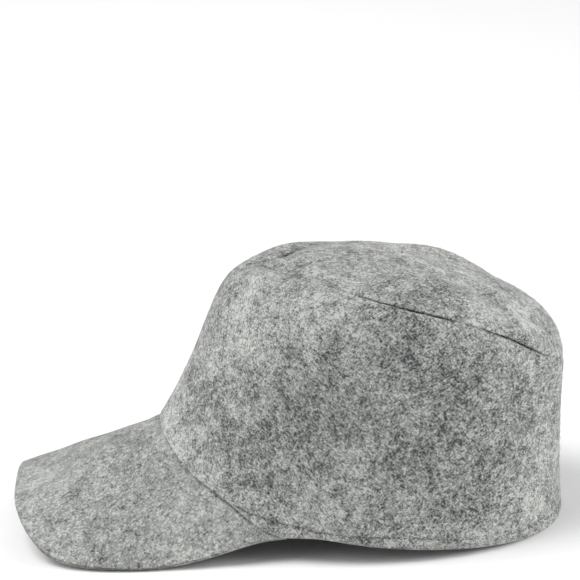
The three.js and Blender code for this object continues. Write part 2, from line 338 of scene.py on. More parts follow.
class FeltLook(bpy.types.PropertyGroup):
    """Colours and grain of the felt, and the colour of its painted shade."""

    light: colour("Light fibres", "Colour of the palest wool", (0.530, 0.543, 0.517))
    middle: colour("Grey fibres", "Colour of most of the wool", (0.259, 0.267, 0.256))
    dark: colour("Dark fibres", "Colour of the darkest wool", (0.0495, 0.053, 0.0535))
    # The colour of the shade painted deep in seams
    painted_shading: colour("Creases", "Colour of the felt deep in seams", (0.020, 0.021, 0.021))
    thread: colour("Thread", "Colour of the hem's thread", (0.035, 0.037, 0.038))
    crown_contrast: contrast("Crown contrast", "How strongly the crown's felt is mottled", 1.0)
    peak_contrast: contrast("Peak contrast", "How strongly the peak's felt is mottled", 0.78)
    fibre: length("Fibre", "Width of the streaks that the fibres draw", 0.00032)
    relief: length("Relief", "Height of the fibres' relief", 0.0006)


class StageLook(bpy.types.PropertyGroup):
    """Floor, lights and camera."""

    floor: colour("Floor", "Colour of the floor", (0.88, 0.88, 0.88))
    sky: bpy.props.FloatProperty(
        name="Sky", description="Strength of the even white light all round", default=0.38, min=0.0
    )
    lamps: bpy.props.FloatProperty(
        name="Lamps", description="Strength of all the lamps, as a share of their own", default=1.0, min=0.0
    )
    elevation: turn("Elevation", "Height of the view over the horizon", 16.2465)
    azimuth: turn("Azimuth", "Side of the view, from the cap's front towards its left", 87.1603)
    roll: turn("Roll", "Lift of the view's right side", 1.9104)
    distance: length("Distance", "From the camera to the cap's middle", 1.1963)
    lens: bpy.props.FloatProperty(
        name="Lens", description="Focal length in millimetres, on a sensor 36 mm wide", default=147.98
    )
    aim_height: length("Aim height", "Height of the place that the view is set from", 0.06)
    aim_aside: length("Aim aside", "How far the view's middle lies to the right of that place", -0.0344)
    aim_above: length("Aim above", "How far the view's middle lies above that place", 0.05045)


# Shape of the cap


def curve_through(rows, column):
    """A smooth curve through a column of a table, level at its ends, as a function of the angle.

    Each row's slope is that of the parabola through the row and its two neighbours.
    """
    at = np.array([row["angle"] for row in rows], float)
    value = np.array([row[column] for row in rows], float)
    width = np.diff(at)
    rise = np.diff(value) / width
    slope = np.zeros(len(rows))
    slope[1:-1] = (rise[:-1] * width[1:] + rise[1:] * width[:-1]) / (width[:-1] + width[1:])

    def curve(angle):
        turn = np.abs(np.asarray(angle, float))
        i = np.clip(np.searchsorted(at, turn, side="right") - 1, 0, len(width) - 1)
        t = (turn - at[i]) / width[i]
        bend = t * t * (3 - 2 * t)
        leaving = t * (1 - t) ** 2 * slope[i]
        arriving = t * t * (t - 1) * slope[i + 1]
        return value[i] + (value[i + 1] - value[i]) * bend + (leaving + arriving) * width[i]

    return curve


rim_height = curve_through(RIM, "height")
seam_height = curve_through(CROWN, "seam_height")
rim_lean = curve_through(CROWN, "rim_lean")
seam_lean = curve_through(CROWN, "seam_lean")
tip_slope = curve_through(CROWN, "tip_slope")
peak_end_height = float(rim_height(PEAK["end_angle"])) - SEWN_GAP
edge_height = curve_through(PEAK_EDGE + table("angle height", (90, peak_end_height)), "height")
seam_left = {column: curve_through(SEAM_LEFT, column) for column in ("depth", "shade")}
seam_right = {column: curve_through(SEAM_RIGHT, column) for column in ("depth", "shade")}
stitch_height = curve_through(HEM_STITCHING, "height")
stitch_shade = curve_through(HEM_STITCHING, "shade")
join_shade = curve_through(JOIN_SHADES, "shade")


def points(x, y, z):
    """Coordinates side by side, as an array of points."""
    return np.stack(np.broadcast_arrays(x, y, z), -1)


def unit(vectors):
    """Vectors of length 1."""
    return vectors / np.linalg.norm(vectors, axis=-1, keepdims=True)


def smooth_step(value, low, high):
    """0 below low, 1 above high, and smooth in between."""
    t = np.clip((value - low) / (high - low), 0, 1)
    return t * t * (3 - 2 * t)


def hump(distance, width):
    """1 at a distance of 0, and gone a few widths away."""
    return np.exp(-((distance / width) ** 2))


def beside(distance, reach):
    """0 at a distance of 0, 1 at the reach, and fading beyond it."""
    return distance / reach * np.exp(1 - distance / reach)


def turns(angle):
    """The sideways and the forward share of an angle."""
    return np.sin(np.radians(angle)), np.cos(np.radians(angle))


def oval(size, angle, point):
    """Level coordinates on an oval: an ellipse at a point of 1, sharper above it, blunter below."""
    side, ahead = turns(angle)
    width = size["half_width"] * (1 - size["wider_at_back"] * ahead)
    return width * np.sign(side) * np.abs(side) ** point, -size["half_length"] * ahead


def rim_point(angle):
    """The outer lower edge of the wall."""
    point = np.where(turns(angle)[1] > 0, 1.0, HEAD["back_point"])
    x, y = oval(HEAD, angle, point)
    return points(x, y, rim_height(angle))


def rim_inward(angle):
    """The level direction into the head, square to an ellipse through the rim's ends and sides."""
    side, ahead = turns(angle)
    return unit(points(-side / HEAD["half_width"], ahead / HEAD["half_length"], 0))


def seam_point(angle):
    """The seam between wall and tip."""
    point = np.where(turns(angle)[1] > 0, TIP_POINT["front"], TIP_POINT["back"])
    x, y = oval(TIP, angle, point)
    askew = SEAM_ASKEW["share"] * hump(angle - SEAM_ASKEW["angle"], SEAM_ASKEW["width"])
    return points(x * (1 - askew), TIP["set_back"] + y, seam_height(angle))


def climbing(level, slope):
    """Directions between level ones and straight up."""
    tilt = np.radians(slope)[..., None]
    return level * np.cos(tilt) + UP * np.sin(tilt)


def towards_top(seam):
    """The level directions from points of the seam to the middle of the tip."""
    return unit(points(-seam[..., 0], TIP_TOP[1] - seam[..., 1], 0))


def span(low, high):
    """How far two rows of points are apart."""
    return np.linalg.norm(high - low, axis=-1, keepdims=True)


def wall_sections(angle):
    """The four guiding points of each upright section of the wall."""
    rim = rim_point(angle)
    seam = seam_point(angle)
    length = span(rim, seam)
    leaving = climbing(rim_inward(angle), 90 - rim_lean(angle))
    arriving = climbing(towards_top(seam), 90 - seam_lean(angle))
    low = rim + leaving * length * WALL_PULL["rim"]
    return rim, low, seam - arriving * length * WALL_PULL["seam"], seam


def tip_sections(angle):
    """The four guiding points of each section of the tip, from the seam to its level top."""
    seam = seam_point(angle)
    top = np.broadcast_to(TIP_TOP, seam.shape)
    length = span(seam, top)
    inward = towards_top(seam)
    behind = ((1 - turns(angle)[1]) / 2)[..., None]
    edge_pull = (
        TIP_PULL["front"] * (1 - behind) ** 2
        + TIP_PULL["side"] * 2 * behind * (1 - behind)
        + TIP_PULL["back"] * behind**2
    )
    top_pull = TIP_PULL["top_front"] + (TIP_PULL["top_back"] - TIP_PULL["top_front"]) * behind
    leaving = climbing(inward, tip_slope(angle))
    return seam, seam + leaving * length * edge_pull, top - inward * length * top_pull, top


def along(sections, share):
    """Points a share of the way along each section. The shares are an array of rows for each angle."""
    first, low, high, last = sections
    t = share[..., None]
    return (1 - t) ** 3 * first + 3 * t * (1 - t) ** 2 * low + 3 * t * t * (1 - t) * high + t**3 * last


def lengths_along(sections):
    """Even shares, and how far along each section they lie."""
    share = np.linspace(0, 1, SECTION_STEPS)[:, None]
    line = along(sections, np.broadcast_to(share, (SECTION_STEPS, sections[0].shape[0])))
    steps = np.linalg.norm(np.diff(line, axis=0), axis=-1)
    return share[:, 0], np.vstack([np.zeros(steps.shape[1]), np.cumsum(steps, axis=0)])


def shares_at(sections, distance):
    """The shares at distances along the sections, one column for each angle."""
    share, reached = lengths_along(sections)
    columns = [np.interp(distance[:, k], reached[:, k], share) for k in range(reached.shape[1])]
    return np.stack(columns, 1)


def outward(sections_of, angle, share):
    """The outward unit normals of a surface made of such sections."""
    turn, step = NORMAL_REACH["turn"], NORMAL_REACH["share"]
    around = along(sections_of(angle + turn), share) - along(sections_of(angle - turn), share)
    ahead = along(sections_of(angle), np.minimum(share + step, 1))
    behind = along(sections_of(angle), np.maximum(share - step, 0))
    return unit(np.cross(around, ahead - behind))


def stray(place, size, seed):
    """Soft unevenness between about -1 and 1: a sum of long waves in random directions."""
    random = np.random.default_rng(seed)
    waves = STRAY["waves"]
    total = np.zeros(place.shape[:-1])
    for _ in range(waves):
        direction = unit(random.normal(size=3))
        pace = 2 * np.pi / (size * random.uniform(STRAY["shortest"], STRAY["longest"]))
        total += np.sin(place @ direction * pace + random.uniform(0, 2 * np.pi))
    return total / math.sqrt(waves)


def apart_from_line(place, start, end):
    """How far places in a plane are from the line between two others."""
    start = np.array(start)
    reach = np.array(end) - start
    from_start = place - start
    share = np.clip(from_start @ reach / (reach @ reach), 0, 1)
    return np.linalg.norm(from_start - share[..., None] * reach, axis=-1)


def seam_value(column, angle):
    """How deep or how dark the tip seam is at an angle, with an uneven pull."""
    angle = np.asarray(angle, float)
    value = np.where(angle >= 0, seam_left[column](angle), seam_right[column](angle))
    ripple = sum(np.sin(np.radians(angle) * waves + waves) for waves in SEAM_RIPPLE["waves"])
    return value * (1 + SEAM_RIPPLE["share"] * ripple / len(SEAM_RIPPLE["waves"]))


def seam_inward(angle):
    """The direction into the tip seam, between the wall's and the tip's."""
    seam = np.ones((1, len(angle)))
    return -unit(outward(wall_sections, angle, seam) + outward(tip_sections, angle, 0 * seam))


def seam_dip(angle, distance):
    """How far the felt is drawn in by the tip seam, as a way from where it would lie."""
    return seam_inward(angle) * (seam_value("depth", angle) * np.exp(-distance / SEAM_SLOPE))[..., None]


def seam_gap(angle):
    """How far the tip seam's two edges stand apart where it is deep."""
    return SEAM_OPEN["share"] * np.maximum(seam_value("depth", angle) - SEAM_OPEN["from"], 0)


def seam_shade(angle, distance):
    """How much shade is painted on the felt near the tip seam."""
    return seam_value("shade", angle) * hump(distance, SEAM_SHADE_WIDTH)


# Meshes


def graded(low, high, count, grading):
    """Steps from low to high that start small where the grading is over 1."""
    return low + (high - low) * np.linspace(0, 1, count) ** grading


def mesh_object(name, vertices, faces, material, shade=None):
    """A smooth object from vertices in millimetres about the head's middle, with its painted shading."""
    placed = (vertices + HEAD_MIDDLE) * MM
    mesh = bpy.data.meshes.new(name)
    mesh.from_pydata(placed.tolist(), [], faces)
    mesh.shade_smooth()
    mesh.materials.append(material)
    # How much shade is painted at each point; below 0, how much light is painted
    if shade is not None:
        painted_shading = mesh.attributes.new("painted_shading", "FLOAT", "POINT")
        painted_shading.data.foreach_set("value", shade.astype(np.float32).ravel())
    mesh.update()
    thing = bpy.data.objects.new(name, mesh)
    bpy.context.scene.collection.objects.link(thing)
    return thing


def strip_faces(grid):
    """Faces between rows of points, numbered by the grid, that are open at their ends."""
    before, after = grid[:-1], grid[1:]
    faces = np.stack([before[:, :-1], before[:, 1:], after[:, 1:], after[:, :-1]], -1)
    return faces.reshape(-1, 4).tolist()


def ring_faces(grid):
    """Faces between rings of points, each ring joined to the next, with points numbered by the grid."""
    before, after = grid[:-1], grid[1:]
    next_before, next_after = np.roll(before, -1, axis=1), np.roll(after, -1, axis=1)
    return np.stack([before, next_before, next_after, after], -1).reshape(-1, 4).tolist()


def fan_faces(tip, ring):
    """Faces from one point to each side of a ring."""
    return [[tip, int(a), int(b)] for a, b in zip(ring, np.roll(ring, -1))]


def numbered(rows):
    """The number of each point in rows of them."""
    return np.arange(rows.shape[0] * rows.shape[1]).reshape(rows.shape[:2])


def resting(rows):
    """Felt that would reach below the surface is pressed flat on it."""
    return np.concatenate([rows[..., :2], np.maximum(rows[..., 2:], 0.0)], axis=-1)


def felt_piece(scene, name, rows, faces, shade, node, slot):
    """A piece of felt that moves with the cap and stands for a solid."""
    piece = mesh_object(name, rows.reshape(-1, 3), faces, felt_material(slot, scene), shade)
    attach(piece, "root")
    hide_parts(node)


def swells(place, sizes, seed):
    """The soft felt's slow unevenness, in millimetres."""
    return sizes.unevenness / MM * stray(place, sizes.uneven_length / MM, seed)


def by_peak(angle):
    """1 where the peak is sewn to the wall, fading out past its ends."""
    low, high = JOIN_FADES
    return 1 - smooth_step(np.abs(angle), PEAK["end_angle"] + low, PEAK["end_angle"] + high)


def wall_distances():
    """Distances up the wall, a row for each ring of points and a column for each angle; and its height."""
    total = lengths_along(wall_sections(ANGLES))[1][-1]
    top = total - seam_gap(ANGLES) / 2
    hem, seam = HEM_ZONE, WALL_SEAM_ZONE
    low = graded(0, hem["reach"], hem["rows"], hem["grading"])[:, None] + 0 * total
    high = top - graded(seam["reach"], 0, seam["rows"], seam["grading"])[:, None]
    share = np.linspace(0, 1, WALL_ROWS + 2)[1:-1, None]
    return np.vstack([low, low[-1] + share * (high[0] - low[-1]), high]), total


def wall_fold_rise(distance):
    """How far the wall's folds push it out, by angle and height over the rim."""
    across = math.radians(1) * HEAD["half_width"]
    place = np.stack([np.broadcast_to(ANGLES * across, distance.shape), distance], -1)
    rise = np.zeros(distance.shape)
    for fold in WALL_FOLDS:
        start = (fold["angle"] * across, fold["height"])
        end = (fold["to_angle"] * across, fold["to_height"])
        rise += fold["rise"] * hump(apart_from_line(place, start, end), fold["width"])
    return rise


def wall_surface(sizes):
    """Points of the wall's outside with hem, stitch dip and seams, and their shade."""
    distance, total = wall_distances()
    share = shares_at(wall_sections(ANGLES), distance)
    place = along(wall_sections(ANGLES), share)
    normal = outward(wall_sections, ANGLES, share)
    to_seam = total - distance
    hem = sizes.hem_height / MM
    line = stitch_height(ANGLES)
    sewn = hump(distance - line, HEM_STITCH_DIP["width"]) * smooth_step(line, 0, HEM_STITCH_DIP["fade"])
    down = np.clip(HEM_EDGE_ROUND - distance, 0, HEM_EDGE_ROUND)
    back = hump(180 - np.abs(ANGLES), BACK_SEAM["width"]) * smooth_step(distance, 0, hem)
    free = smooth_step(distance, 0, FREE_FROM["rim"]) * smooth_step(to_seam, 0, FREE_FROM["seam"])
    rise = (swells(place, sizes, SEEDS["wall"]) + wall_fold_rise(distance)) * free
    turned = smooth_step(distance, 0, HEM_SWELL["from"])
    not_turned = smooth_step(distance, hem - HEM_SWELL["fade"], hem + HEM_SWELL["fade"])
    rise += sizes.hem_swell / MM * turned * (1 - not_turned)
    rise += JOIN_SWELL["wall"] * by_peak(ANGLES) * beside(distance, JOIN_SWELL["reach"])
    rise -= HEM_STITCH_DIP["depth"] * sewn
    rounding = HEM_EDGE_ROUND - np.sqrt(HEM_EDGE_ROUND**2 - down**2)
    rise -= rounding * (1 - JOIN_ROUNDS_LESS * by_peak(ANGLES))
    rise -= BACK_SEAM["depth"] * back
    # Shade painted along the tip seam
    shade = seam_shade(ANGLES, to_seam)
    # Shade painted along the peak's seam
    joined = join_shade(ANGLES) * by_peak(ANGLES) * hump(distance, JOIN_SHADE_WIDTH)
    shade = np.maximum(shade, joined)
    # Shade painted in the stitch line's dip
    shade = np.maximum(shade, stitch_shade(ANGLES) * sewn)
    # Shade painted in the back seam
    shade = np.maximum(shade, BACK_SEAM["shade"] * back)
    return place + normal * rise[..., None] + seam_dip(ANGLES, to_seam), shade


def tucked(edge):
    """Rows of the sewn edge that is turned inside, up to just under the surface."""
    depth = graded(SEAM_TUCK["deep"], SEAM_TUCK["shallow"], TUCK_ROWS, 1)[:, None, None]
    return edge + seam_inward(ANGLES) * depth


def tucked_shade():
    """How much shade is painted on the felt that is turned into the tip seam."""
    shade = np.maximum(seam_value("shade", ANGLES), SEAM_TUCK["shade"])
    return np.broadcast_to(shade, (TUCK_ROWS, ROUND_COUNT))


def inside_of(sections_of, shares, thickness):
    """Rows of the felt's inner side. The thickness is a function of the height along the sections."""
    share = np.broadcast_to(np.array(shares)[:, None], (len(shares), ROUND_COUNT))
    height = share * lengths_along(sections_of(ANGLES))[1][-1]
    under = outward(sections_of, ANGLES, share) * thickness(height)[..., None]
    return along(sections_of(ANGLES), share) - under


class FELTCAP_OT_wall(bpy.types.Operator):
    """Build the felt wall that goes round the head, with its turned hem"""

    bl_idname = "feltcap.wall"
    bl_label = "Wall"

    def execute(self, context):
        sizes = context.scene.felt_cap_sizes
        felt, hem, hem_height = sizes.felt / MM, sizes.hem_thickness / MM, sizes.hem_height / MM

        def thickness(height):
            turned_in = 1 - smooth_step(height, hem_height, hem_height + HEM_STEP)
            rounded = HEM_EDGE_ROUND * (1 - smooth_step(height, 0, HEM_STEP))
            return felt + (hem - felt) * turned_in - rounded

        outside, shade = wall_surface(sizes)
        edge = tucked(outside[-1])[::-1]
        inside = inside_of(wall_sections, WALL_INSIDE_SHARES, thickness)
        rows = resting(np.vstack([outside, edge, inside]))
        shade = np.vstack([shade, tucked_shade(), np.zeros(inside.shape[:2])])
        grid = numbered(rows)
        faces = ring_faces(np.vstack([grid, grid[:1]]))
        felt_piece(context.scene, "felt_wall", rows, faces, shade, "crown_wall", "wall_felt")
        return {"FINISHED"}


def tip_distances():
    """Distances from the seam over the tip, a row for each ring of points and a column for each angle."""
    total = lengths_along(tip_sections(ANGLES))[1][-1]
    zone = TIP_SEAM_ZONE
    edge = seam_gap(ANGLES) / 2
    low = edge + graded(0, 1, zone["rows"], zone["grading"])[:, None] * (zone["reach"] - edge)
    share = np.linspace(0, TIP_LAST_SHARE, TIP_ROWS + 1)[1:, None]
    return np.vstack([low, zone["reach"] + share * (total - zone["reach"])])


def tip_fold_rise(place):
    """How far the tip's folds push it out, and the shade and light painted along them."""
    rise = np.zeros(place.shape[:-1])
    shade = np.zeros(place.shape[:-1])
    for fold in TIP_FOLDS:
        away = apart_from_line(place[..., :2], (fold["x"], fold["y"]), (fold["to_x"], fold["to_y"]))
        here = hump(away, fold["width"])
        rise += fold["rise"] * here
        shade += fold["shade"] * here
    return rise, shade


def tip_surface(sizes):
    """Points of the tip's upper side, from the seam to its middle, and their shade."""
    distance = tip_distances()
    share = shares_at(tip_sections(ANGLES), distance)
    place = along(tip_sections(ANGLES), share)
    normal = outward(tip_sections, ANGLES, share)
    rise, fold_shade = tip_fold_rise(place)
    rise = rise * smooth_step(distance, 0, FREE_FROM["tip_folds"])
    rise += swells(place, sizes, SEEDS["tip"]) * smooth_step(distance, 0, FREE_FROM["tip_swells"])
    shade = seam_shade(ANGLES, distance) + fold_shade
    return place + normal * rise[..., None] + seam_dip(ANGLES, distance), shade


class FELTCAP_OT_tip(bpy.types.Operator):
    """Build the egg-shaped felt tip on top of the wall"""

    bl_idname = "feltcap.tip"
    bl_label = "Tip"

    def execute(self, context):
        sizes = context.scene.felt_cap_sizes
        felt = sizes.felt / MM
        outside, shade = tip_surface(sizes)
        edge = tucked(outside[0])
        inside = inside_of(tip_sections, TIP_INSIDE_SHARES, lambda height: 0 * height + felt)
        rows = np.vstack([inside, edge, outside])
        shade = np.vstack([np.zeros(inside.shape[:2]), tucked_shade(), shade])
        grid = numbered(rows)
        under, top = grid.size, grid.size + 1
        faces = ring_faces(grid) + fan_faces(under, grid[0][::-1]) + fan_faces(top, grid[-1])
        rise = swells(TIP_TOP, sizes, SEEDS["tip"])
        vertices = np.vstack([rows.reshape(-1, 3), TIP_TOP - UP * felt, TIP_TOP + UP * rise])
        shade = np.append(shade, [0.0, 0.0])
        felt_piece(context.scene, "felt_tip", vertices, faces, shade, "crown_tip", "tip_felt")
        return {"FINISHED"}


def peak_edge(angle):
    """The peak's upper outer edge."""
    end_angle = PEAK["end_angle"]
    share = np.abs(angle) / end_angle
    turn = np.radians(share * 90)
    power = 2 / PEAK["squareness"]
    end = rim_point(end_angle) - rim_inward(end_angle) * PEAK["end_width"]
    width = PEAK["half_width"] + (end[0] - PEAK["half_width"]) * share**PEAK_NARROWS
    x = width * np.sin(turn) ** power
    ahead = np.clip(np.cos(turn), 0, 1) ** power
    y = end[1] + (-PEAK["reach"] - end[1]) * ahead
    return points(x * np.sign(angle), y, edge_height(share * 90))


def peak_face(angle, out):
    """The peak's upper face, from its root under the rim (0) to its edge (1)."""
    root = rim_point(angle) - UP * PEAK_SEWN_GAP
    return root + (peak_edge(angle) - root) * out[..., None]


def peak_angles():
    """Angles along the peak, closest together at its ends."""
    end_angle = PEAK["end_angle"]
    most = math.radians(PEAK_LAST_TURN)
    return end_angle * np.sin(np.linspace(-most, most, PEAK_COLUMNS)) / math.sin(most)


def peak_rim(top_edge, normal, inwards, thickness):
    """Rows round the peak's outer edge, from its upper face to its lower one, and their painted shade."""
    half = thickness[:, None] / 2
    most, bulge = PEAK_RIM["turn"], PEAK_RIM["bulge"]
    turn = np.radians(np.linspace(most, -most, PEAK_EDGE_ROWS))[:, None, None]
    middle = top_edge - normal * half
    rows = middle + inwards * half * (bulge - bulge * np.cos(turn)) + normal * half * np.sin(turn)
    from_line = np.linspace(-1, 1, PEAK_EDGE_ROWS)[:, None] + PEAK_RIM["line_below"]
    return rows, PEAK_RIM["shade"] * hump(from_line, PEAK_RIM["line_width"]) + 0 * thickness


def peak_normal(angle, out):
    """The upward unit normals of the peak's upper face."""
    end_angle = PEAK["end_angle"]
    before = peak_face(np.clip(angle - NORMAL_REACH["peak_turn"], -end_angle, end_angle), out)
    after = peak_face(np.clip(angle + NORMAL_REACH["peak_turn"], -end_angle, end_angle), out)
    return unit(np.cross(after - before, unit(rim_point(angle) - peak_edge(angle))))


def peak_rise(face, out, from_root, share):
    """How far the peak's upper face strays from its plain shape: slow waves, and a swell at its seam."""
    held = PEAK_WAVES["held"]
    rise = PEAK_WAVES["rise"] * stray(face, PEAK_WAVES["size"], SEEDS["peak"]) * smooth_step(out, 0, held)
    rise = rise * (1 - smooth_step(out, 1 - held, 1))
    sewn_on = 1 - smooth_step(from_root, *JOIN_SWELL["gone"])
    sewn_on = sewn_on * (1 - smooth_step(share, *JOIN_SWELL["ends"]))
    return rise + JOIN_SWELL["peak"] * beside(from_root, JOIN_SWELL["reach"]) * sewn_on


def peak_rows(sizes):
    """Rows of points from the peak's root over its edge and back under it, and their shade."""
    angle = peak_angles()
    share = np.abs(angle) / PEAK["end_angle"]
    out = 1 - graded(0, 1, PEAK_ROWS["rows"], PEAK_ROWS["grading"])[:, None]
    out = np.broadcast_to(out, (len(out), len(angle)))
    face = peak_face(angle, out)
    normal = peak_normal(angle, out)
    thick, end = sizes.peak_thickness / MM, sizes.peak_end_thickness / MM
    thickness = thick + (end - thick) * smooth_step(share, PEAK_THINS_FROM, 1)
    from_root = out * span(peak_face(angle, out[-1]), peak_edge(angle))[:, 0]
    upper = (face + normal * peak_rise(face, out, from_root, share)[..., None])[1:]
    lower = (face - normal * thickness[:, None])[1:]
    inwards = unit(rim_point(angle) - peak_edge(angle))
    rim, rim_shade = peak_rim(face[0], normal[0], inwards, thickness)
    tuck = rim_inward(angle) * PEAK_TUCK
    rows = np.vstack([upper[::-1], rim, lower, (lower[-1] + tuck)[None], (upper[-1] + tuck)[None]])
    pull = PEAK_END_PULL["most"] * smooth_step(share, PEAK_END_PULL["from"], 1)
    # Shade painted along the peak's seam
    upper_shade = (join_shade(angle) * hump(from_root, JOIN_SHADE_WIDTH))[1:]
    plain = np.zeros((len(lower) + 2, len(angle)))
    return resting(rows + rim_inward(angle) * pull[:, None]), np.vstack([upper_shade[::-1], rim_shade, plain])


class FELTCAP_OT_peak(bpy.types.Operator):
    """Build the arched, stiff felt peak"""

    bl_idname = "feltcap.peak"
    bl_label = "Peak"

    def execute(self, context):
        rows, shade = peak_rows(context.scene.felt_cap_sizes)
        grid = numbered(rows)
        faces = strip_faces(np.vstack([grid, grid[:1]]))
        faces += [grid[:, 0].tolist(), grid[::-1, -1].tolist()]
        felt_piece(context.scene, "felt_peak", rows, faces, shade, "peak", "peak_felt")
        return {"FINISHED"}


def hem_line():
    """Points along the hem's stitch line from one end of the peak to the other, and their normals."""
    round_back = np.linspace(HEM_STITCH_START, 360 - HEM_STITCH_START, HEM_LINE_POINTS)
    angle = (round_back + 180) % 360 - 180
    share = shares_at(wall_sections(angle), stitch_height(angle)[None])
    line = along(wall_sections(angle), share)[0]
    return line, outward(wall_sections, angle, share)[0]


def tube(spine, out, thickness):
    """Rings of points round a thread, one for each point of its spine."""
    forward = unit(np.gradient(spine, axis=0))
    across = unit(np.cross(forward, out))
    lift = np.cross(across, forward)
    turn = np.arange(THREAD_SIDES)[:, None] * 2 * math.pi / THREAD_SIDES
    ring = across[:, None] * np.cos(turn) + lift[:, None] * np.sin(turn)
    return spine[:, None] + ring * thickness[:, None, None]


class FELTCAP_OT_stitches(bpy.types.Operator):
    """Sew the hem with a line of small stitches"""

    bl_idname = "feltcap.stitches"
    bl_label = "Hem stitches"

    def execute(self, context):
        sizes = context.scene.felt_cap_sizes
        radius = sizes.thread / MM / 2
        line, normal = hem_line()
        line = line + normal * (sizes.hem_swell / MM - HEM_STITCH_DIP["depth"] + radius / 2)
        travelled = np.append(0, np.cumsum(np.linalg.norm(np.diff(line, axis=0), axis=-1)))

        def at(reach, rows):
            return np.stack([np.interp(reach, travelled, rows[:, c]) for c in range(3)], 1)

        bow = np.sin(np.linspace(0, math.pi, STITCH_POINTS))
        thickness = radius * (STITCH_ENDS_THIN_TO + (1 - STITCH_ENDS_THIN_TO) * bow)
        vertices, faces = [], []
        for k in range(int(travelled[-1] * MM / sizes.stitch_pitch)):
            reach = (k * sizes.stitch_pitch + sizes.stitch_length * np.linspace(0, 1, STITCH_POINTS)) / MM
            out = unit(at(reach, normal))
            spine = at(reach, line) + out * (bow[:, None] - 1) * radius * STITCH_BOW
            rings = tube(spine, out, thickness)
            grid = numbered(rings) + len(vertices)
            vertices += rings.reshape(-1, 3).tolist()
            faces += ring_faces(grid) + [grid[0][::-1].tolist(), grid[-1].tolist()]
        look = thread_material(context.scene)
        stitches = mesh_object("hem_stitches", np.array(vertices), faces, look)
        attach(stitches, "root")
        return {"FINISHED"}


def outer_faces(mesh):
    """Middles, normals and areas of the faces that look away from the head and lie in no seam."""
    count = len(mesh.polygons)
    middle, normal, area = np.empty(3 * count), np.empty(3 * count), np.empty(count)
    mesh.polygons.foreach_get("center", middle)
    mesh.polygons.foreach_get("normal", normal)
    mesh.polygons.foreach_get("area", area)
    middle, normal = middle.reshape(-1, 3), normal.reshape(-1, 3)
    away = middle - np.array([0.0, HEAD_MIDDLE_Y * MM, FUZZ_MIDDLE_Z])
    first, corner = np.empty(count, int), np.empty(len(mesh.loops), int)
    mesh.polygons.foreach_get("loop_start", first)
    mesh.loops.foreach_get("vertex_index", corner)
    shade = np.empty(len(mesh.vertices))
    mesh.attributes["painted_shading"].data.foreach_get("value", shade)
    outer = ((away * normal).sum(-1) > 0) & (shade[corner[first]] < FUZZ_MOST_SHADE)
    return middle[outer], normal[outer], area[outer]


def fuzz_ribbons(mesh, count, seed):
    """Narrow, bowed ribbons that lie on the outer faces, in rows of two points, in metres."""
    random = np.random.default_rng(seed)
    middle, normal, area = outer_faces(mesh)
    chosen = random.choice(len(area), count, p=area / area.sum())
    out = normal[chosen]
    ahead = unit(np.cross(out, random.normal(size=(count, 3))))
    aside = np.cross(out, ahead)
    scatter = random.uniform(-0.5, 0.5, (2, count, 1)) * np.sqrt(area[chosen])[:, None]
    root = middle[chosen] + ahead * scatter[0] + aside * scatter[1]
    length = random.uniform(*FUZZ_LENGTH, (count, 1))
    lift = random.uniform(*FUZZ_LIFT, (count, 1))
    bend = random.uniform(-FUZZ_BEND, FUZZ_BEND, (count, 1))
    roll = random.uniform(0, math.pi, (count, 1))
    rows = []
    for share in np.linspace(0, 1, FUZZ_STATIONS):
        turn = bend * share
        spine = root + length * share * (ahead * np.cos(turn) + aside * np.sin(turn))
        spine = spine + out * length * lift * (np.sin(math.pi * share) - FUZZ_ROOT * (1 - share))
        across = aside * np.cos(turn + roll) - ahead * np.sin(turn) * np.cos(roll) + out * np.sin(roll)
        half = FUZZ_WIDTH / 2 * (1 - (1 - FUZZ_TIP_WIDTH) * share)
        rows += [spine - across * half, spine + across * half]
    return np.stack(rows, 1)


class FELTCAP_OT_fuzz(bpy.types.Operator):
    """Scatter short loose fibres over the felt"""

    bl_idname = "feltcap.fuzz"
    bl_label = "Loose fibres"

    def execute(self, context):
        look = fuzz_material(context.scene)
        for row in FUZZ:
            ribbons = fuzz_ribbons(bpy.data.objects[row["piece"]].data, row["count"], row["seed"])
            number = numbered(ribbons).reshape(-1, FUZZ_STATIONS, 2)
            faces = np.stack([number[:, :-1, 0], number[:, :-1, 1], number[:, 1:, 1], number[:, 1:, 0]], -1)
            vertices = resting(ribbons.reshape(-1, 3) / MM - HEAD_MIDDLE)
            fuzz = mesh_object(row["piece"] + "_fuzz", vertices, faces.reshape(-1, 4).tolist(), look)
            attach(fuzz, "root")
        return {"FINISHED"}


# Materials


class Value:
    """A number, colour or vector on its way through a material. Sums of it add nodes."""

    def __init__(self, shader, socket):
        self.shader = shader
        self.socket = socket

    def maths(self, operation, *values):
        return self.shader.node("ShaderNodeMath", {"operation": operation}, dict(enumerate(values)))

    def __add__(self, other):
        return self.maths("ADD", self, other)

    def __radd__(self, other):
        return self.maths("ADD", other, self)

    def __sub__(self, other):
        return self.maths("SUBTRACT", self, other)

    def __rsub__(self, other):
        return self.maths("SUBTRACT", other, self)

    def __mul__(self, other):
        return self.maths("MULTIPLY", self, other)

    def __rmul__(self, other):
        return self.maths("MULTIPLY", other, self)

    def clamped(self):
        """Held between 0 and 1."""
        return self.shader.node("ShaderNodeClamp", {}, {"Value": self})

    def from_range(self, low, high):
        """0 at low and 1 at high, smooth in between."""
        settings = {"interpolation_type": "SMOOTHSTEP"}
        sockets = {"Value": self, "From Min": low, "From Max": high}
        return self.shader.node("ShaderNodeMapRange", settings, sockets)


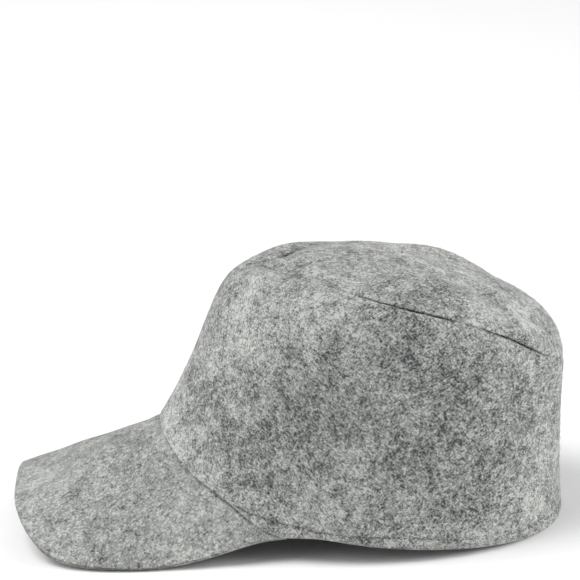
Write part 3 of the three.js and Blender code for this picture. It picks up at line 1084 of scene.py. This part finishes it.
class Shader:
    """A material and its nodes."""

    def __init__(self, name):
        self.material = bpy.data.materials.new(name)
        self.material.use_nodes = True
        self.tree = self.material.node_tree
        self.tree.nodes.clear()

    def node(self, kind, settings=None, sockets=None, output=0):
        """A node of a type: its settings first, then values or links for its sockets."""
        made = self.tree.nodes.new(kind)
        for key, value in (settings or {}).items():
            setattr(made, key, value)
        for key, value in (sockets or {}).items():
            if isinstance(value, Value):
                self.tree.links.new(value.socket, made.inputs[key])
            else:
                made.inputs[key].default_value = value
        return Value(self, made.outputs[output]) if made.outputs else None

    def place(self):
        """Where a point lies in the object, in metres."""
        return self.node("ShaderNodeTexCoord", output="Object")

    def mix(self, factor, first, second):
        """Colours mixed by a factor."""
        return self.node("ShaderNodeMix", {"data_type": "RGBA"}, {0: factor, 6: first, 7: second}, output=2)

    def scaled(self, vector, stretch):
        """A vector stretched along each axis."""
        return self.node("ShaderNodeVectorMath", {"operation": "MULTIPLY"}, {0: vector, 1: stretch})

    def noise(self, vector, size, detail=1.0, roughness=0.55, distortion=0.0):
        """Noise whose lumps are about as wide as size, in metres."""
        sockets = {
            "Vector": vector, "Scale": NOISE_LUMP / size, "Detail": detail, "Roughness": roughness,
            "Distortion": distortion,
        }
        return self.node("ShaderNodeTexNoise", {"noise_dimensions": "3D"}, sockets)

    def finish(self, sockets):
        """The surface's own shader and the material's output, with values or links for its sockets."""
        surface = self.node("ShaderNodeBsdfPrincipled", {}, sockets)
        self.node("ShaderNodeOutputMaterial", {}, {"Surface": surface})
        return self.material


def opaque(tint):
    """A colour with full cover."""
    return (*tint, 1.0)


def fibres(shader, place, size):
    """Short streaks that lie all ways, as a value about 0."""
    lying = []
    for turn in FIBRE_TURNS:
        sockets = {"Vector": place, "Rotation": turn}
        turned = shader.node("ShaderNodeVectorRotate", {"rotation_type": "EULER_XYZ"}, sockets)
        laid = shader.scaled(turned, (1 / FIBRE_STRETCH, 1.0, 1.0))
        lying.append(shader.noise(laid, size, **FIBRE_NOISE))
    return (lying[0] + lying[1] + lying[2]) * (1 / len(lying)) - NOISE_MIDDLE


def felt_material(name, scene):
    """Grey wool felt: pale and dark fibres that lie all ways, in cloudy clumps, with painted shade and light.
    """
    look = scene.felt_cap_look
    mottled = look.peak_contrast if name.startswith("peak") else look.crown_contrast
    shader = Shader(name)
    place = shader.place()
    fine = fibres(shader, place, look.fibre)
    specks = shader.noise(place, SPECK) - NOISE_MIDDLE
    tufts = shader.noise(place, TUFT) - NOISE_MIDDLE
    clumps = shader.noise(place, CLUMP, detail=2.0) - NOISE_MIDDLE
    clouds = shader.noise(place, CLOUD) - NOISE_MIDDLE
    mottle = (
        fine * MOTTLING["fibres"] + specks * MOTTLING["specks"] + tufts * MOTTLING["tufts"]
        + clumps * MOTTLING["clumps"] + clouds * MOTTLING["clouds"]
    )
    # Painted shade along seams and folds
    painted_shading = shader.node("ShaderNodeAttribute", {"attribute_name": "painted_shading"}, output="Fac")
    # Painted light, where that painted shade is below 0 on the tip's back
    paler = (painted_shading * -1.0).clamped()
    tone = (mottle * mottled + paler + MIDDLE_TONE).clamped()
    dark_half = shader.mix(tone.from_range(0.0, MIDDLE_TONE), opaque(look.dark), opaque(look.middle))
    felt = shader.mix(tone.from_range(MIDDLE_TONE, 1.0), dark_half, opaque(look.light))
    # The painted shade, broken up by pale fibres
    broken = (painted_shading - painted_shading * (fine + specks * PAINTED_SHADE_SPECKS) * PAINTED_SHADE_BREAKS).clamped()
    felt = shader.mix(broken, felt, opaque(look.painted_shading))
    height = fine * RELIEF["fibres"] + specks * RELIEF["specks"]
    sockets = {"Strength": RELIEF["strength"], "Distance": look.relief, "Height": height}
    bump = shader.node("ShaderNodeBump", {}, sockets)
    return shader.finish({"Base Color": felt, "Normal": bump, **FELT_SURFACE})


def fuzz_material(scene):
    """Loose wool, mostly pale."""
    look = scene.felt_cap_look
    shader = Shader("loose_wool")
    tone = shader.noise(shader.place(), TUFT).from_range(*PALE_WOOL)
    wool = shader.mix(tone, opaque(look.middle), opaque(look.light))
    return shader.finish({"Base Color": wool, **LOOSE_SURFACE})


def thread_material(scene):
    """Dark grey sewing thread with a fine twist."""
    shader = Shader("hem_thread")
    twist = shader.noise(shader.place(), THREAD_TWIST)
    thread = scene.felt_cap_look.thread
    paler = tuple(THREAD_PALER * part for part in thread)
    twisted = shader.mix(twist, opaque(thread), opaque(paler))
    return shader.finish({"Base Color": twisted, **THREAD_SURFACE})


def floor_material(scene):
    """A matt pale floor."""
    shader = Shader("pale_floor")
    return shader.finish({"Base Color": opaque(scene.felt_cap_stage.floor), **FLOOR_SURFACE})


# Stage


def add_floor(scene):
    """A wide level floor under the cap."""
    half = FLOOR_HALF_WIDTH
    mesh = bpy.data.meshes.new("floor")
    corners = [(-half, -half, 0), (half, -half, 0), (half, half, 0), (-half, half, 0)]
    mesh.from_pydata(corners, [], [(0, 1, 2, 3)])
    mesh.materials.append(floor_material(scene))
    floor = bpy.data.objects.new("floor", mesh)
    scene.collection.objects.link(floor)


def soft_light(name, place, target, size, power):
    """A square soft light at a place, turned to a target, in metres and watts."""
    data = bpy.data.lights.new(name, "AREA")
    data.shape = "SQUARE"
    data.size = size
    data.energy = power
    light = bpy.data.objects.new(name, data)
    light.location = place
    light.rotation_mode = "QUATERNION"
    light.rotation_quaternion = (Vector(target) - Vector(place)).to_track_quat("-Z", "Y")
    bpy.context.scene.collection.objects.link(light)
    return light


def add_light(scene, look):
    """Faint light all round, and soft lights in front, behind and above."""
    world = bpy.data.worlds.new("even_light")
    world.use_nodes = True
    background = world.node_tree.nodes["Background"]
    background.inputs["Color"].default_value = SKY_COLOUR
    background.inputs["Strength"].default_value = look.sky
    scene.world = world
    for row in LIGHTS:
        place = (row["x"], row["y"], row["z"])
        target = (row["to_x"], 0.0, row["to_z"])
        soft_light(row["name"], place, target, row["size"], row["power"] * look.lamps)


def add_camera(scene, look):
    """The photograph's view."""
    level = math.cos(look.elevation)
    back = Vector((math.sin(look.azimuth) * level, -math.cos(look.azimuth) * level, math.sin(look.elevation)))
    right = Vector((math.cos(look.azimuth), math.sin(look.azimuth), 0.0))
    up = back.cross(right)
    cos, sin = math.cos(look.roll), math.sin(look.roll)
    right, up = right * cos - up * sin, right * sin + up * cos
    aim = Vector((0.0, HEAD_MIDDLE_Y * MM, look.aim_height))
    place = aim + right * look.aim_aside + up * look.aim_above + back * look.distance
    data = bpy.data.cameras.new("camera")
    data.sensor_width = SENSOR_WIDTH
    data.lens = look.lens
    data.clip_start, data.clip_end = VIEW_DEPTH
    camera = bpy.data.objects.new("camera", data)
    turned = Matrix((right, up, back)).transposed().to_4x4()
    camera.matrix_world = Matrix.Translation(place) @ turned
    scene.collection.objects.link(camera)
    scene.camera = camera


class FELTCAP_OT_stage(bpy.types.Operator):
    """Set the floor, the soft light and the camera"""

    bl_idname = "feltcap.stage"
    bl_label = "Floor, light and camera"

    def execute(self, context):
        scene = context.scene
        look = scene.felt_cap_stage
        add_floor(scene)
        add_light(scene, look)
        add_camera(scene, look)
        scene.view_settings.view_transform = "Standard"
        return {"FINISHED"}


STEPS = (
    FELTCAP_OT_wall,
    FELTCAP_OT_tip,
    FELTCAP_OT_peak,
    FELTCAP_OT_stitches,
    FELTCAP_OT_fuzz,
    FELTCAP_OT_stage,
)


class FELTCAP_PT_panel(bpy.types.Panel):
    """The cap's pieces, one button each"""

    bl_idname = "FELTCAP_PT_panel"
    bl_label = "Felt Cap"
    bl_space_type = "VIEW_3D"
    bl_region_type = "UI"
    bl_category = "Felt Cap"

    def draw(self, context):
        for step in STEPS:
            self.layout.operator(step.bl_idname)


GROUPS = {"felt_cap_sizes": CapSizes, "felt_cap_look": FeltLook, "felt_cap_stage": StageLook}


def register():
    """Makes the settings, operators and panel known to Blender."""
    for group in GROUPS.values():
        bpy.utils.register_class(group)
    for step in (*STEPS, FELTCAP_PT_panel):
        bpy.utils.register_class(step)
    for name, group in GROUPS.items():
        setattr(bpy.types.Scene, name, bpy.props.PointerProperty(type=group))


def unregister():
    """Takes them away again."""
    for name in GROUPS:
        delattr(bpy.types.Scene, name)
    for step in (FELTCAP_PT_panel, *reversed(STEPS)):
        bpy.utils.unregister_class(step)
    for group in GROUPS.values():
        bpy.utils.unregister_class(group)


def main():
    """Builds the cap and its stage."""
    register()
    bpy.ops.feltcap.wall()
    bpy.ops.feltcap.tip()
    bpy.ops.feltcap.peak()
    bpy.ops.feltcap.stitches()
    bpy.ops.feltcap.fuzz()
    bpy.ops.feltcap.stage()


if __name__ == "__main__":
    main()
